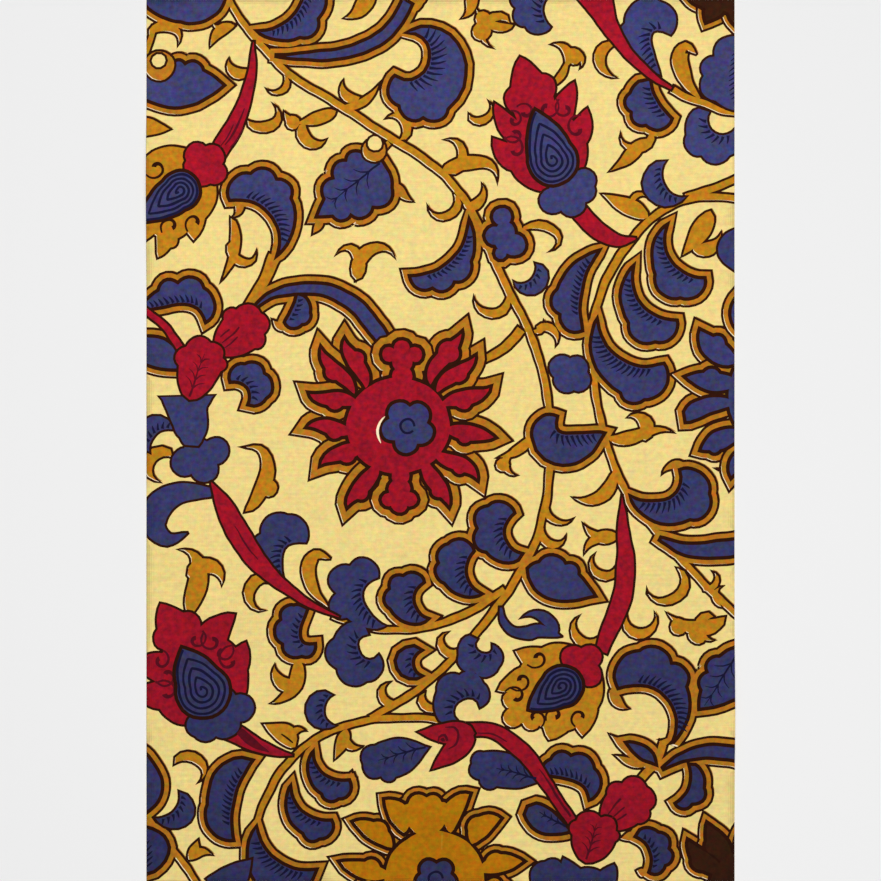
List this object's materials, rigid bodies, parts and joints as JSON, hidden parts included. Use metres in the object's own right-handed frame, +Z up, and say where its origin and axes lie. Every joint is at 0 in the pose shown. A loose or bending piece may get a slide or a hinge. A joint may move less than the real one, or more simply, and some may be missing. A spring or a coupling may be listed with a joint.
{
  "type": "printed cotton cloth length",
  "caption": "Flat cut length of plain-woven cotton printed all over with a scrolling vine of flowers, buds and leaves, lying face up.",
  "frame": {"origin": "on the surface that the cloth rests on, under the middle of the cloth", "axes": "+X across the cloth, +Y along it towards the top of the print, +Z up out of the printed face"},
  "size_m": [0.2, 0.3, 0.002],
  "materials": {
    "printed_cotton": "matt plain-woven cotton with a pale yellow ground under red, ochre, blue and dark brown inks"
  },
  "bodies": {
    "root": {"printed_cloth": "printed_cotton"}
  },
  "joints": []
}
